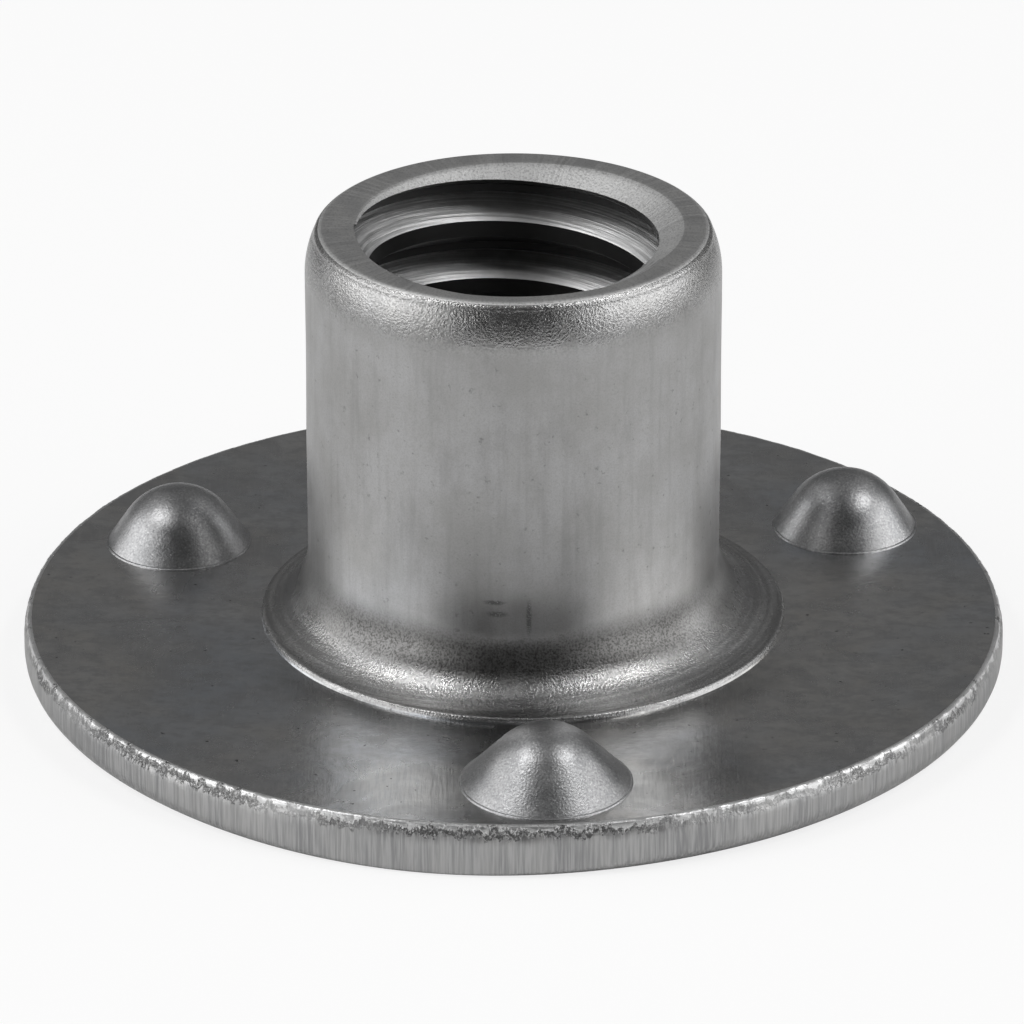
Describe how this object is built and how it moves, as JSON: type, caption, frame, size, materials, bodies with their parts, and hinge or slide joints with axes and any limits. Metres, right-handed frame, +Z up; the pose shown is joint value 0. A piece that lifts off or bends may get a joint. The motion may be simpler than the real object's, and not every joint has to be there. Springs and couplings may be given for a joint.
{
  "type": "projection weld nut",
  "caption": "Round-flange projection weld nut: a tapped barrel drawn up from a steel flange, with rounded weld projections on the barrel side.",
  "frame": {"origin": "centre of the flange's underside, on the barrel's axis", "axes": "+Z up the barrel from the flange; the first projection lies close to -Y"},
  "size_m": [0.0222, 0.0222, 0.0106],
  "materials": {
    "steel": "bare oiled steel, satin, with die marks and grain on the drawn radii"
  },
  "bodies": {
    "root": {"weld_nut": "steel"}
  },
  "joints": []
}
